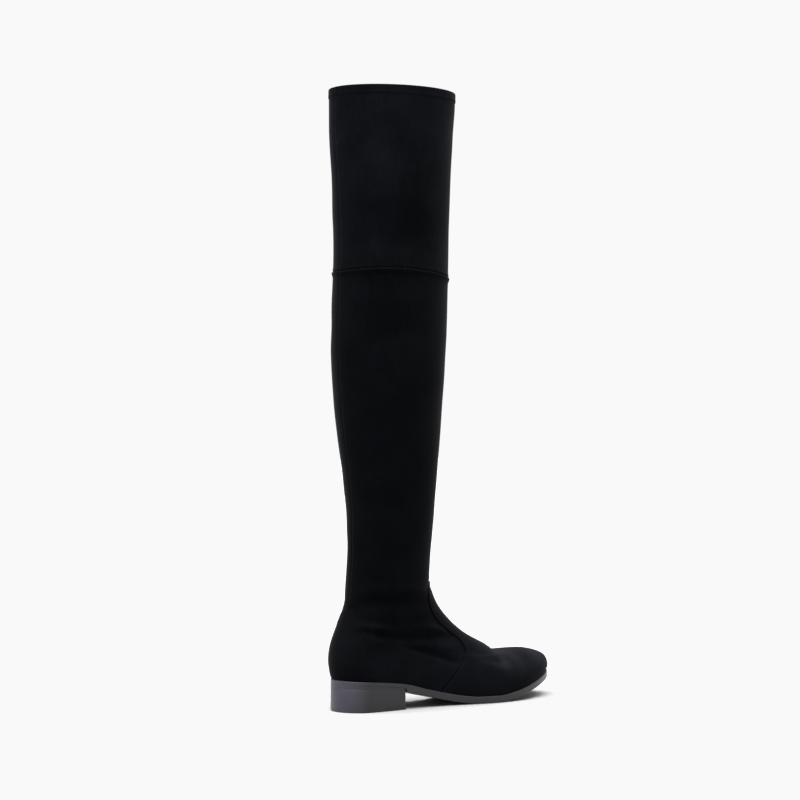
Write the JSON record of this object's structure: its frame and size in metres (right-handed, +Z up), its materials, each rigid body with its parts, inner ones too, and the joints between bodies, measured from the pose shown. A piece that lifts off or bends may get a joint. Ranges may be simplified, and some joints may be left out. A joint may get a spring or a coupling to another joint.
{
  "type": "thigh high boot",
  "caption": "Black suede pull-on thigh high boot with a low block heel, a vamp with a tongue, a heel counter and a seam at the knee.",
  "frame": {"origin": "on the floor, at the middle of the heel block's bottom face", "axes": "+X to the toe, +Y to the inner side of the foot, +Z up the leg"},
  "size_m": [0.2716, 0.1008, 0.62],
  "materials": {
    "suede": "brushed suede, matt with a short nap",
    "sole": "smooth, semi-gloss dark grey",
    "lining": "matt"
  },
  "bodies": {
    "root": {"upper": "suede", "thigh_panel": "suede", "vamp": "suede", "heel_counter": "suede", "outsole": "sole", "heel": "sole", "insole": "lining"}
  },
  "joints": []
}
